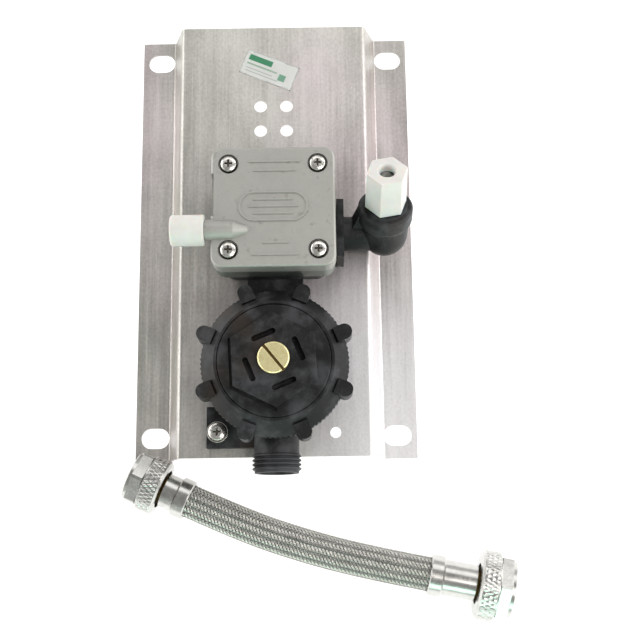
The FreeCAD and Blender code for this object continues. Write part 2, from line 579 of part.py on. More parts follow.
def servo_works():
    film = block("film_blank", ("valve_x", "head_y", "film_z"), "cover_size-0.7", "cover_size-0.7",
                 "film_thick", "cover_corner")
    holes = [cylinder("head_screw_r+0.3", "40", (x, y, "film_z-1")) for x, y in COVER_SCREWS]
    named(cut(film, *holes), "servo_diaphragm")
    at = ("valve_x", "head_y", "film_z")
    named(turned("piston", at, [
        "0 -(film_z-outlet_z)+2.4", "needle_r -(film_z-outlet_z)+2.4", "needle_r -(film_z-block_z)-0.4",
        "pin_r -(film_z-block_z)+0.2", "pin_r -piston_thick-1.6", "3.6 -piston_thick-0.8",
        "4 -piston_thick", "piston_r-0.5 -piston_thick", "piston_r 0.5-piston_thick",
        "piston_r -0.3", "piston_r-0.3 0", "0 0"]), "servo_piston")
    named(turned("seal", ("valve_x", "head_y", "outlet_z+passage_r-0.6"), [
        "needle_r 0", "pilot_seal_r 0", "pilot_seal_r 1", "needle_r 1"]), "pilot_seal")
    low, high = number("film_z-base_pocket"), number("film_z-piston_thick")
    named(coil("servo_coil", ("valve_x", "head_y", "film_z-base_pocket"), number("servo_coil_r"),
               number("servo_wire"), low, high, 3.5), "servo_spring")


def raised_bar(x, y, long, wide):
    """Plain raised bar cast on the cover's face, centred at the given offsets from its middle."""
    return box(long, wide, "0.6", ("valve_x+(%s)-(%s)/2" % (x, long), "head_y+(%s)-(%s)/2" % (y, wide),
                                  "cover_top-0.2"))


def servo_cover():
    slab = block("cover_blank", ("valve_x", "head_y", "cover_z"), "cover_size", "cover_size",
                 "cover_tall", "cover_corner")
    doc.recompute()
    rim = ["Edge%d" % (i + 1) for i, edge in enumerate(slab.Tip.Shape.Edges)
           if edge.CenterOfMass.z > number("cover_tall") - 0.01]
    dress(slab, "PartDesign::Fillet", rim).setExpression("Radius", bind("cover_rim"))
    boss = turned("air_boss", ("cap_face_x", "air_y", "air_z"), [
        "0 0", "air_boss_r 0", "air_boss_r 11.5", "air_boss_r-1.2 14.5", "2 air_tip_x-cap_face_x-0.6",
        "1 air_tip_x-cap_face_x", "0 air_tip_x-cap_face_x"], "X")
    nipple = cylinder("nipple_r", "cap_long-4", ("cap_face_x-cap_long+4.2", "air_y", "air_z"), "X")
    oval_out = joined(cylinder("6.6", "0.7", ("valve_x-8.2", "head_y", "cover_top-0.2")),
                      cylinder("6.6", "0.7", ("valve_x+8.2", "head_y", "cover_top-0.2")),
                      box("16.4", "13.2", "0.7", ("valve_x-8.2", "head_y-6.6", "cover_top-0.2")))
    oval_in = joined(cylinder("5.8", "3", ("valve_x-8.2", "head_y", "cover_top")),
                     cylinder("5.8", "3", ("valve_x+8.2", "head_y", "cover_top")),
                     box("16.4", "11.6", "3", ("valve_x-8.2", "head_y-5.8", "cover_top")))
    frame = cut(oval_out, oval_in)
    marks = [raised_bar(x, y, long, wide) for x, y, long, wide in (
        ("0", "3.1", "17", "0.9"), ("0", "0", "21", "0.9"), ("0", "-3.1", "17", "0.9"),
        ("0.5", "20", "22", "0.9"), ("0.5", "16", "18", "0.9"),
        ("0.9", "-16", "11", "0.9"), ("0.9", "-21.2", "20", "0.9"))]
    whole = joined(slab, boss, nipple, frame, *marks)
    wells = [cylinder("pan_bore_r", "10", (x, y, "cover_top-pan_seat")) for x, y in COVER_SCREWS]
    holes = [cylinder("head_screw_r+0.15", "40", (x, y, "cover_z-1")) for x, y in COVER_SCREWS]
    hollow = [
        cylinder("chamber_r", "cover_pocket+1", ("valve_x", "head_y", "cover_z-1")),
        cylinder("air_hole_r", "cap_long+7.5", ("cap_face_x-cap_long+3", "air_y", "air_z"), "X"),
        cylinder("air_hole_r", "air_z-cover_z+1", ("cap_face_x+10.2", "air_y", "cover_z-1")),
        box("12", "2*air_hole_r", "3.5", ("cap_face_x+9", "air_y-air_hole_r", "cover_z-1")),
        box("1.6", "19", "cover_tall+2", ("valve_x-cover_size/2-0.4", "head_y-4", "cover_z+2.5")),
    ]
    named(cut(whole, *(wells + holes + hollow)), "servo_cover")


def cover_screws():
    screws = []
    for i, (x, y) in enumerate(COVER_SCREWS):
        at = (x, y, "cover_top-pan_seat")
        blank = screw_blank("cover_screw_%d" % i, at, "pan_r", "pan_tall", "head_screw_r",
                            "cover_top-pan_seat-block_z+10")
        screws.append(cut(blank, cross_recess(at, "3.4", "1.5", "pan_tall")))
    group("cover_screws", screws)


def air_fittings():
    at = ("cap_face_x", "air_y", "air_z")
    named(turned("air_cap", at, [
        "nipple_r+0.15 0.2", "cap_r-0.5 0.2", "cap_r 0.7", "cap_r cap_long-0.6", "cap_r-0.6 cap_long",
        "air_tube_r cap_long", "air_tube_r cap_long-1.5", "nipple_r+0.15 cap_long-2.4"],
        "-X"), "air_tube_nut")
    named(turned("air_olive", at, [
        "air_tube_r cap_long-4.1", "nipple_r-0.2 cap_long-4.1", "nipple_r-0.2 cap_long-3",
        "air_tube_r+0.5 cap_long-2.1", "air_tube_r cap_long-2.1"], "-X"), "air_ferrule")


# ---- outlet elbow -----------------------------------------------------------------------

ELBOW_AT = ("elbow_x", "outlet_y", "outlet_z")


def outlet_elbow():
    run = "elbow_x-flange_out_x"
    tube = turned("elbow_run", ("flange_out_x", "outlet_y", "outlet_z"), [
        "0 -6", "socket_r-0.05 -6", "socket_r-0.05 -4.4", "socket_r-1 -4.4", "socket_r-1 -2.6",
        "socket_r-0.05 -2.6", "socket_r-0.05 0", "elbow_tube_r 0", "elbow_tube_r %s" % run,
        "0 %s" % run], "X")
    leg = turned("elbow_leg", ELBOW_AT, [
        "0 -8", "4.4 -8", "7.9 -6.2", "9.8 -3", "elbow_r 0.5", "elbow_r+0.3 8.5", "collar_tip_r 11",
        "collar_tip_r 16.6", "collar_tip_r-0.8 17.4", "9.6 17.4", "9.2 18.4", "nipple_thread_r 18.4",
        "nipple_thread_r 31", "0 31"], LEAN)
    web = new_body("elbow_web")
    pad(web, outline(sketch_on(web, "XZ_Plane"), [
        "-(%s)+3.5 2" % run, "-(%s)+3.5 6.6" % run, "-collar_tip_r+0.8 15.8", "0 15.8", "0 2"]),
        "7", symmetric=True)
    place(web, ELBOW_AT, LEAN)
    bore = [
        cylinder("elbow_bore_r", "elbow_x-flange_out_x+8", ("flange_out_x-8", "outlet_y", "outlet_z"), "X"),
        cylinder("elbow_bore_r", "26", ELBOW_AT, LEAN),
        cylinder("tube_r", "11", ("elbow_x", "outlet_y+24*sin(elbow_lean)", "outlet_z+24*cos(elbow_lean)"),
                 LEAN),
    ]
    named(cut(joined(tube, leg, web), *bore), "outlet_elbow")
    ring = doc.addObject("Part::Torus", "outlet_ring")
    ring.setExpression("Radius1", bind("socket_r-0.5"))
    ring.setExpression("Radius2", bind("0.5"))
    named(place(ring, ("flange_out_x-3.5", "outlet_y", "outlet_z"), "X"), "outlet_o_ring")


def outlet_nut():
    body = new_body("tube_nut_blank")
    foot = outline(sketch_on(body, "XY_Plane", "nut_foot"), hexagon("nut_flats/2/cos(30)", 12))
    pad(body, foot, "nut_tall", "-nut_taper")
    place(body, ELBOW_AT, LEAN)
    bores = turned("tube_nut_bore", ELBOW_AT, [
        "0 nut_foot-1", "nipple_thread_r+0.15 nut_foot-1", "nipple_thread_r+0.15 31.4",
        "tube_r+0.6 34.6", "tube_r 34.6", "tube_r nut_foot+nut_tall-1.2",
        "tube_r+0.9 nut_foot+nut_tall+0.3", "0 nut_foot+nut_tall+0.3"], LEAN)
    named(cut(body, bores), "outlet_tube_nut")
    named(turned("tube_olive", ELBOW_AT, [
        "tube_r 31.1", "nipple_thread_r-0.2 31.1", "nipple_thread_r-0.2 31.4", "tube_r+0.7 34.2",
        "tube_r 34.2"], LEAN), "outlet_ferrule")


# ---- supply hose ------------------------------------------------------------------------

HOSE_ROUTE = [(-37.6, -119.8), (-13.7, -130.7), (12.8, -139.8), (38.9, -146.8), (65.4, -152.2)]
LEFT_HEADING, RIGHT_HEADING = 155.5, -11.5


def hose_tube():
    """Braided hose: straight runs joined by tangent arcs, level at its ends, swept as a tube."""
    low, high = number("left_level"), number("right_level")
    levels = (low, low, (low + high) / 2, high, high)
    spots = [V(x, y, level) for (x, y), level in zip(HOSE_ROUTE, levels)]
    edges, start = [], spots[0]
    for before, corner, after in zip(spots, spots[1:], spots[2:]):
        into, out = (corner - before).normalize(), (after - corner).normalize()
        half_turn = into.getAngle(out) / 2
        trim = 0.45 * min((corner - before).Length, (after - corner).Length)
        first, last = corner - into * trim, corner + out * trim
        inward = (out - into).normalize()
        radius = trim / math.tan(half_turn)
        centre = corner + inward * (radius / math.cos(half_turn))
        middle = centre - inward * radius
        edges += [Part.LineSegment(start, first).toShape(), Part.Arc(first, middle, last).toShape()]
        print("hose bend radius %.1f" % radius)
        start = last
    edges.append(Part.LineSegment(start, spots[-1]).toShape())
    path = Part.Wire(edges)
    heading = (spots[1] - spots[0]).normalize()
    shells = []
    for radius in (number("hose_r"), number("hose_bore_r")):
        ring = Part.Wire([Part.makeCircle(radius, spots[0], heading)])
        shells.append(path.makePipeShell([ring], True, True))
    solid = shells[0].cut(shells[1])
    section = 3.14159265 * (number("hose_r") ** 2 - number("hose_bore_r") ** 2)
    print("hose length %.2f, volume over section %.2f" % (path.Length, solid.Volume / section))
    tube = doc.addObject("Part::Feature", "hose_sweep")
    tube.Shape = solid
    tube.Placement = FreeCAD.Placement()
    named(tube, "hose_tube")


def end_frame(heading):
    """Turn that faces a piece's +Z along the given heading in the level plane."""
    return FreeCAD.Rotation(V(0, 0, 1), heading).multiply(FreeCAD.Rotation(V(0, 1, 0), 90))


def hose_end(side, spot, heading, sleeve):
    """Crimped ferrule, stem, washer and swivel nut at one end, mouth facing outwards."""
    at = (str(spot[0]), str(spot[1]), side + "_level")
    outer, flat_gap = side + "_swivel_r", side + "_flats"
    turn = end_frame(heading)
    named(turned(side + "_crimp", at, [
        "stem_r+0.1 0", "crimp_r-0.5 0", "crimp_r 0.5", "crimp_r crimp_long-0.7",
        "crimp_r-0.7 crimp_long", "sleeve_r crimp_long", "sleeve_r %s-0.6" % sleeve,
        "sleeve_r-0.6 %s" % sleeve, "stem_r+0.1 %s" % sleeve], turn), side + "_ferrule")
    named(turned(side + "_tail", at, [
        "stem_bore_r -6", "stem_r-0.3 -6", "stem_r-0.3 0.2", "stem_r 0.4", "stem_r %s" % sleeve,
        "stem_r+0.8 %s" % sleeve, "stem_r+0.8 %s+5" % sleeve, "stem_flange_r %s+5" % sleeve,
        "stem_flange_r %s+6.6" % sleeve, "stem_bore_r %s+6.6" % sleeve], turn), side + "_stem")
    named(turned(side + "_disc", at, [
        "stem_r %s+6.6" % sleeve, "stem_flange_r %s+6.6" % sleeve, "stem_flange_r %s+9" % sleeve,
        "stem_r %s+9" % sleeve], turn), side + "_washer")
    back = sleeve + "+0.4"
    shell = turned(side + "_nut_shell", at, [
        "0 %s" % back, "%s-1.2 %s" % (outer, back), "%s %s+0.9" % (outer, back),
        "%s %s+swivel_long-0.9" % (outer, back), "%s-0.9 %s+swivel_long" % (outer, back),
        "0 %s+swivel_long" % back], turn)
    flats = new_body(side + "_nut_flats")
    pad(flats, outline(sketch_on(flats, "XY_Plane", back + "+knurl_long+0.4"),
                       hexagon(flat_gap + "/2/cos(30)", 0)), "swivel_long-knurl_long-2.2")
    place(flats, at, turn)
    whole_hex = doc.addObject("Part::MultiCommon", side + "_flats_common")
    whole_hex.Shapes = [shell, flats]
    rear = turned(side + "_nut_rear", at, [
        "0 %s" % back, "%s-1.2 %s" % (outer, back), "%s %s+0.9" % (outer, back),
        "%s %s+knurl_long" % (outer, back), "%s-1.3 %s+knurl_long+0.4" % (outer, back),
        "0 %s+knurl_long+0.4" % back], turn)
    front = turned(side + "_nut_front", at, [
        "0 %s+swivel_long-1.8" % back, "%s/2-0.1 %s+swivel_long-1.8" % (flat_gap, back),
        "%s/2-0.1 %s+swivel_long-0.4" % (flat_gap, back), "%s/2-0.5 %s+swivel_long" % (flat_gap, back),
        "0 %s+swivel_long" % back], turn)
    bore = turned(side + "_nut_bore", at, [
        "0 %s-1" % back, "swivel_hole_r %s-1" % back, "swivel_hole_r %s+2.6" % back,
        "swivel_bore_r-0.3 %s+2.6" % back, "swivel_bore_r-0.3 %s+9" % sleeve,
        "swivel_bore_r %s+9" % sleeve, "swivel_bore_r %s+swivel_long+1" % back,
        "0 %s+swivel_long+1" % back], turn)
    named(cut(joined(rear, whole_hex, front), bore), side + "_nut")


def build():
    mounting_plate()
    label_sticker()
    valve_body()
    inlet_fittings()
    body_fixings()
    diaphragm_set()
    bonnet()
    flow_screw()
    ring_nut()
    servo_base()
    servo_works()
    servo_cover()
    cover_screws()
    air_fittings()
    outlet_elbow()
    outlet_nut()
    hose_tube()
    hose_end("left", HOSE_ROUTE[0], LEFT_HEADING, "left_sleeve")
    hose_end("right", HOSE_ROUTE[-1], RIGHT_HEADING, "right_sleeve")
    doc.recompute()


def write_parts():
    """Checks every object, then writes one file for each named sub-part."""
    for thing in doc.Objects:
        if "Invalid" in thing.State or "Error" in thing.State:
            raise RuntimeError("object not computed: %s %s" % (thing.Name, thing.State))
    os.makedirs("parts", exist_ok=True)
    for label, thing in parts.items():
        shape = thing.Shape
        if shape.isNull() or not shape.isValid() or not shape.Solids:
            raise RuntimeError("no valid solid: " + label)
        shape.exportStep("parts/%s.step" % label)
        print("%-18s solids %d volume %10.1f  %s" % (label, len(shape.Solids), shape.Volume, shape.BoundBox))


build()
write_parts()
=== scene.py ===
import json
import math

import bmesh
import bpy
from mathutils import Matrix, Vector


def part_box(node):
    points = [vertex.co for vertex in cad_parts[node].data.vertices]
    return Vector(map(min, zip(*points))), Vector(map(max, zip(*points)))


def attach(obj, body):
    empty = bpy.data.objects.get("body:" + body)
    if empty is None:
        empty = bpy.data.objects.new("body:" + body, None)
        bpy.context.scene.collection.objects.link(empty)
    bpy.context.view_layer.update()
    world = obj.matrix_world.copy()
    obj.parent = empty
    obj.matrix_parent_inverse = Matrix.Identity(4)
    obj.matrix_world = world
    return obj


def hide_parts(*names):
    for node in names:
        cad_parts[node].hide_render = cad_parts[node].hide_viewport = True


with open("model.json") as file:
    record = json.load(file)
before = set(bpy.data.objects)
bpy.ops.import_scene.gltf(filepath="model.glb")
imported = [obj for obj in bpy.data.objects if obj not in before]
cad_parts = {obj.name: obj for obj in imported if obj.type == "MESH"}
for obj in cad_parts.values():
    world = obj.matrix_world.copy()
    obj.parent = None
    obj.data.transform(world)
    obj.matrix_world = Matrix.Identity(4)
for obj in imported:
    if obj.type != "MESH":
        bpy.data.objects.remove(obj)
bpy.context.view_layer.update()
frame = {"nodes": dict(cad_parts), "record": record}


# ---- camera and studio ------------------------------------------------------------------
# The valve lies on its back on a pale table.  A short portrait lens looks down on it from just
# past the inlet end.  Long soft boxes stand left, right and behind, a cool one in front, and a
# small one hangs over the outlet side.

def camera_above():
    data = bpy.data.cameras.new("camera")
    data.lens, data.sensor_width = 62.3, 36.0
    data.clip_start, data.clip_end = 0.01, 20.0
    camera = bpy.data.objects.new("camera", data)
    camera.location = (0.02135, -0.14642, 0.50069)
    camera.rotation_euler = [math.radians(angle) for angle in (12.31, 0.287, -0.770)]
    bpy.context.scene.collection.objects.link(camera)
    bpy.context.scene.camera = camera


def soft_box(name, at, aim, size, watts, colour=(1, 1, 1)):
    """Rectangular soft light at one point that faces another."""
    lamp = bpy.data.lights.new(name, "AREA")
    lamp.shape, lamp.size, lamp.size_y = "RECTANGLE", size[0], size[1]
    lamp.energy, lamp.color = watts, colour
    holder = bpy.data.objects.new(name, lamp)
    holder.location = at
    holder.rotation_euler = (Vector(aim) - Vector(at)).to_track_quat("-Z", "Y").to_euler()
    bpy.context.scene.collection.objects.link(holder)


camera_above()
valve_middle = (0, -0.03, 0.02)
soft_box("left_box", (-0.75, 0.05, 0.38), valve_middle, (1.3, 0.45), 5.0)
soft_box("right_box", (0.80, 0.10, 0.42), valve_middle, (1.3, 0.50), 6.0)
soft_box("top_box", (0.10, 0.75, 0.85), valve_middle, (1.1, 0.6), 2.8)
soft_box("front_box", (0.05, -0.95, 0.40), valve_middle, (0.9, 0.35), 2.8, (0.58, 1.0, 0.80))
soft_box("high_box", (0.42, -0.30, 0.95), (0.05, -0.08, 0.02), (0.4, 0.4), 3.2, (1.0, 0.97, 0.95))
bpy.context.scene.view_settings.view_transform = "Standard"


# ---- supply hose ------------------------------------------------------------------------
# A rubber tube inside a woven stainless sleeve, lying loose past the inlet end of the plate.
# The sleeve has 24 strands of two wires each way round, woven two over and two under.

MM = 0.001
slot_of = {part["node"]: part["material_slot"] for part in frame["record"]["subparts"]}
body_of = {node: body for body, nodes in frame["record"]["behaviour"]["bodies"].items() for node in nodes}
ROUTE = [(-0.0376, -0.1198, 0.01215), (-0.0137, -0.1307, 0.01215), (0.0128, -0.1398, 0.01335),
         (0.0389, -0.1468, 0.01455), (0.0654, -0.1522, 0.01455)]
CORE_RADIUS = 0.0064


class Signal:
    """One socket of a shader or geometry tree, whose operators add the Math nodes."""

    def __init__(self, nodes, socket):
        self.nodes, self.socket = nodes, socket

    def maths(self, operation, *terms):
        return self.nodes.make("ShaderNodeMath", {"operation": operation}, dict(enumerate(terms)))

    def __add__(self, other):
        return self.maths("ADD", self, other)

    def __sub__(self, other):
        return self.maths("SUBTRACT", self, other)

    def __rsub__(self, other):
        return self.maths("SUBTRACT", other, self)

    def __mul__(self, other):
        return self.maths("MULTIPLY", self, other)

    def __truediv__(self, other):
        return self.maths("DIVIDE", self, other)

    __radd__, __rmul__ = __add__, __mul__

    def floor(self):
        return self.maths("FLOOR", self)

    def cos(self):
        return self.maths("COSINE", self)

    def sin(self):
        return self.maths("SINE", self)

    def least(self, other):
        return self.maths("MINIMUM", self, other)

    def step(self, low, high):
        """0 below low, 1 above high and smooth between."""
        return self.nodes.make("ShaderNodeMapRange", {"interpolation_type": "SMOOTHSTEP"},
                               {"Value": self, "From Min": low, "From Max": high})


class Nodes:
    """A tree that nodes are added to, each by its type, its settings and its inputs."""

    def __init__(self, tree):
        self.tree = tree

    def make(self, kind, settings=None, inputs=None, output=0):
        """Adds a node, sets it up before its inputs are filled, and gives one of its outputs."""
        node = self.tree.nodes.new(kind)
        for name, value in (settings or {}).items():
            setattr(node, name, value)
        for name, value in (inputs or {}).items():
            if isinstance(value, Signal):
                self.tree.links.new(value.socket, node.inputs[name])
            else:
                node.inputs[name].default_value = value
        return Signal(self, node.outputs[output])

    def mix(self, low, high, share):
        """Colour or signal low at share 0 and high at share 1."""
        ends = [end if isinstance(end, Signal) else (*end, 1) for end in (low, high)]
        return self.make("ShaderNodeMix", {"data_type": "RGBA"}, {0: share, 6: ends[0], 7: ends[1]}, 2)

    def noise(self, stretch, detail=4, rough=0.55, shift=(0, 0, 0)):
        """Noise in the piece's own metres, with this many lumps to the metre along X, Y and Z."""
        place = self.make("ShaderNodeTexCoord", output=3)
        turned = self.make("ShaderNodeMapping", None, {"Vector": place, "Scale": stretch, "Location": shift})
        return self.make("ShaderNodeTexNoise", None,
                         {"Vector": turned, "Scale": 1.0, "Detail": detail, "Roughness": rough})


class Finish:
    """A new material: constants on its shader, then what varies fed in by name."""

    def __init__(self, name, **constants):
        self.material = bpy.data.materials.new(name)
        self.material.use_nodes = True
        self.nodes = Nodes(self.material.node_tree)
        self.shader = self.material.node_tree.nodes["Principled BSDF"]
        for socket, value in constants.items():
            self.shader.inputs[socket.replace("_", " ")].default_value = value

    def feed(self, socket, signal):
        self.nodes.tree.links.new(signal.socket, self.shader.inputs[socket])

    def bump(self, height, depth_mm, strength=1.0):
        self.feed("Normal", self.nodes.make("ShaderNodeBump", None, {
            "Height": height, "Distance": depth_mm * MM, "Strength": strength}))


def stand_for(name, mesh, node, replaces=True):
    """Puts a finished mesh in the scene, riding on a CAD node's body and taking its slot."""
    piece = bpy.data.objects.new(name, mesh)
    bpy.context.scene.collection.objects.link(piece)
    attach(piece, body_of[node])
    if replaces:
        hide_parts(node)
    return piece


def plain_mesh(source):
    """What an object looks like with its modifiers, as a mesh of its own."""
    graph = bpy.context.evaluated_depsgraph_get()
    return bpy.data.meshes.new_from_object(source.evaluated_get(graph), preserve_all_data_layers=True,
                                           depsgraph=graph)


def geometry_tree(name, sockets):
    """Starts a geometry tree: one mesh in, named inputs for its sizes, one mesh out."""
    tree = bpy.data.node_groups.new(name, "GeometryNodeTree")
    tree.interface.new_socket("Geometry", in_out="INPUT", socket_type="NodeSocketGeometry")
    for label, kind in sockets.items():
        tree.interface.new_socket(label, in_out="INPUT", socket_type="NodeSocket" + kind)
    tree.interface.new_socket("Geometry", in_out="OUTPUT", socket_type="NodeSocketGeometry")
    nodes = Nodes(tree)
    given = tree.nodes.new("NodeGroupInput")
    return nodes, {socket.name: Signal(nodes, socket) for socket in given.outputs if socket.name}


def end_tree(nodes, geometry, material):
    """Realizes what was made, shades it smooth, gives it its material and sends it out."""
    real = nodes.make("GeometryNodeRealizeInstances", None, {0: geometry})
    smooth = nodes.make("GeometryNodeSetShadeSmooth", None, {0: real, "Shade Smooth": True})
    dressed = nodes.make("GeometryNodeSetMaterial", None, {0: smooth, "Material": material})
    nodes.tree.links.new(dressed.socket, nodes.tree.nodes.new("NodeGroupOutput").inputs[0])
    return nodes.tree


def grown(mesh, tree, **sizes):
    """Runs a tree on a mesh with these sizes and returns the result as a plain mesh."""
    blank = bpy.data.objects.new("blank", mesh)
    bpy.context.scene.collection.objects.link(blank)
    maker = blank.modifiers.new("maker", "NODES")
    maker.node_group = tree
    for item in tree.interface.items_tree:
        if item.in_out == "INPUT" and item.name.replace(" ", "_") in sizes:
            maker[item.identifier] = sizes[item.name.replace(" ", "_")]
    result = plain_mesh(blank)
    bpy.data.objects.remove(blank)
    return result


def hose_route(name, thickness):
    """The hose's own smooth line as a curve object, with a round section if it has a thickness."""
    curve = bpy.data.curves.new(name, "CURVE")
    curve.dimensions = "3D"
    spline = curve.splines.new("NURBS")
    spline.points.add(len(ROUTE) - 1)
    for point, spot in zip(spline.points, ROUTE):
        point.co = (*spot, 1)
    spline.order_u = 3
    spline.use_endpoint_u = True
    spline.resolution_u = 24
    curve.bevel_depth, curve.bevel_resolution, curve.use_fill_caps = thickness, 6, True
    return bpy.data.objects.new(name, curve)


def tube_rubber():
    rubber = Finish("hose_rubber", Roughness=0.7, Specular_IOR_Level=0.3)
    grey = rubber.nodes.noise((900, 900, 900))
    rubber.feed("Base Color", rubber.nodes.mix((0.012, 0.013, 0.012), (0.035, 0.035, 0.032), grey))
    rubber.bump(grey, 0.1)
    return rubber.material


def woven_wire(name, dark, light):
    wire = Finish(name, Metallic=1.0)
    patch = wire.nodes.noise((140, 140, 140), 3)
    drawn = wire.nodes.noise((2600, 2600, 2600), 2)
    wire.feed("Base Color", wire.nodes.mix(dark, light, patch * 0.7 + drawn * 0.3))
    wire.feed("Roughness", 0.20 + 0.14 * drawn)
    return wire.material


def strand_tree():
    """Winds the strands of one hand round a line, over and under those of the other hand.

    Every strand starts as a copy of the line, each point is pushed out to its place round the
    hose, and a row of small square wires is swept along the result.
    """
    nodes, given = geometry_tree("woven strands", {
        "Strands": "Int", "Samples": "Int", "Hand": "Float", "Radius": "Float", "Turn length": "Float",
        "Weave": "Float", "Wires": "Int", "Wire size": "Float", "Material": "Material"})
    line = nodes.make("GeometryNodeMeshToCurve", None, {0: given["Geometry"]})
    line = nodes.make("GeometryNodeResampleCurve", None, {"Curve": line, "Count": given["Samples"]})
    copies = nodes.make("GeometryNodeDuplicateElements", {"domain": "SPLINE"},
                        {0: line, "Amount": given["Strands"]})
    strand = Signal(nodes, copies.socket.node.outputs["Duplicate Index"])
    along = nodes.make("GeometryNodeSplineParameter", output=1)
    wound = given["Hand"] * along / given["Turn length"]
    angle = 2 * math.pi * (strand / given["Strands"] + wound)
    crossing = math.pi * (strand + given["Strands"] * wound)
    height = given["Hand"] * given["Weave"] * (crossing - math.pi / 4).cos()
    up = nodes.make("GeometryNodeInputNormal")
    forward = nodes.make("GeometryNodeInputTangent")
    aside = nodes.make("ShaderNodeVectorMath", {"operation": "CROSS_PRODUCT"}, {0: forward, 1: up})
    parts = [nodes.make("ShaderNodeVectorMath", {"operation": "SCALE"}, {0: axis, "Scale": share})
             for axis, share in ((up, angle.cos()), (aside, angle.sin()))]
    outward = nodes.make("ShaderNodeVectorMath", {"operation": "ADD"}, {0: parts[0], 1: parts[1]})
    kept = nodes.make("GeometryNodeStoreNamedAttribute", {"data_type": "FLOAT_VECTOR", "domain": "POINT"},
                      {0: copies, "Name": "outward", "Value": outward})
    outward = nodes.make("GeometryNodeInputNamedAttribute", {"data_type": "FLOAT_VECTOR"},
                         {"Name": "outward"})
    lift = nodes.make("GeometryNodeStoreNamedAttribute", {"data_type": "FLOAT", "domain": "POINT"},
                      {0: kept, "Name": "lift", "Value": given["Radius"] + height})
    lifted = nodes.make("GeometryNodeInputNamedAttribute", {"data_type": "FLOAT"}, {"Name": "lift"})
    shift = nodes.make("ShaderNodeVectorMath", {"operation": "SCALE"}, {0: outward, "Scale": lifted})
    wound_line = nodes.make("GeometryNodeSetPosition", None, {0: lift, "Offset": shift})
    facing = nodes.make("GeometryNodeSetCurveNormal", {"mode": "FREE"},
                        {"Curve": wound_line, "Normal": outward})
    span = given["Wire size"] * (given["Wires"] - 1) / -2
    start = nodes.make("ShaderNodeCombineXYZ", None, {"Y": span})
    apart = nodes.make("ShaderNodeCombineXYZ", None, {"Y": given["Wire size"]})
    spots = nodes.make("GeometryNodeMeshLine", None,
                       {"Count": given["Wires"], "Start Location": start, "Offset": apart})
    section = nodes.make("GeometryNodeCurvePrimitiveCircle", None,
                         {"Resolution": 4, "Radius": given["Wire size"] * 0.5})
    sections = nodes.make("GeometryNodeInstanceOnPoints", None, {"Points": spots, "Instance": section})
    sections = nodes.make("GeometryNodeRealizeInstances", None, {0: sections})
    strands = nodes.make("GeometryNodeCurveToMesh", None,
                         {"Curve": facing, "Profile Curve": sections, "Fill Caps": True})
    return end_tree(nodes, strands, given["Material"])


def supply_hose():
    core = hose_route("hose_core", CORE_RADIUS)
    bpy.context.scene.collection.objects.link(core)
    core.data.materials.append(tube_rubber())
    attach(core, body_of["hose_tube"])
    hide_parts("hose_tube")
    line = bpy.data.meshes.new_from_object(hose_route("hose_line", 0))
    tree, sleeve = strand_tree(), []
    # The right-hand strands are painted lighter and the left-hand strands darker: painted highlight and
    # painted shade on two copies of the same wire.
    for name, hand, dark, light in (("sleeve_right_hand", 1.0, (0.56, 0.55, 0.51), (0.90, 0.89, 0.83)),
                                    ("sleeve_left_hand", -1.0, (0.26, 0.255, 0.24), (0.52, 0.51, 0.48))):
        wire = woven_wire(name + "_wire", dark, light)
        strands = grown(line, tree, Strands=24, Samples=190, Hand=hand, Radius=0.00678, Turn_length=0.0395,
                        Weave=0.00038, Wires=2, Wire_size=0.00045, Material=wire)
        sleeve.append(stand_for(name, strands, "hose_tube", replaces=False))


supply_hose()


# ---- table and walls --------------------------------------------------------------------
# Plain pale table top under everything, in a pale room with a dimmer ceiling.

def table_top():
    mesh = bpy.data.meshes.new("table_top")
    reach, level = 3.0, -0.0003
    mesh.from_pydata([(-reach, -reach, level), (reach, -reach, level), (reach, reach, level),
                      (-reach, reach, level)], [], [(0, 1, 2, 3)])
    pale = Finish("pale_table", Roughness=0.85, Specular_IOR_Level=0.1, Emission_Strength=0.8,
                  Emission_Color=(1.0, 1.0, 1.0, 1.0))
    cloud = pale.nodes.noise((3, 3, 3))
    pale.feed("Base Color", pale.nodes.mix((0.60, 0.60, 0.60), (0.64, 0.64, 0.64), cloud))
    mesh.materials.append(pale.material)
    top = bpy.data.objects.new("table_top", mesh)
    bpy.context.scene.collection.objects.link(top)


def studio_walls():
    """Light from all round: pale at the table's level, dimmer overhead."""
    world = bpy.data.worlds.new("studio")
    world.use_nodes = True
    bpy.context.scene.world = world
    nodes = Nodes(world.node_tree)
    way = nodes.make("ShaderNodeTexCoord", output=0)
    apart = nodes.make("ShaderNodeSeparateXYZ", None, {0: way})
    height = Signal(nodes, apart.socket.node.outputs["Z"])
    shade = nodes.mix((0.66, 0.66, 0.66), (0.30, 0.30, 0.30), height.step(0.15, 0.85))
    world.node_tree.links.new(shade.socket, world.node_tree.nodes["Background"].inputs["Color"])


table_top()
studio_walls()


# ---- mounting plate ---------------------------------------------------------------------
# Pressed from 1.2 mm zinc-coated steel: a raised panel between two wall flanges.  The coil's
# rolling leaves fine streaks along its length, and the zinc is cloudy and lightly scratched.

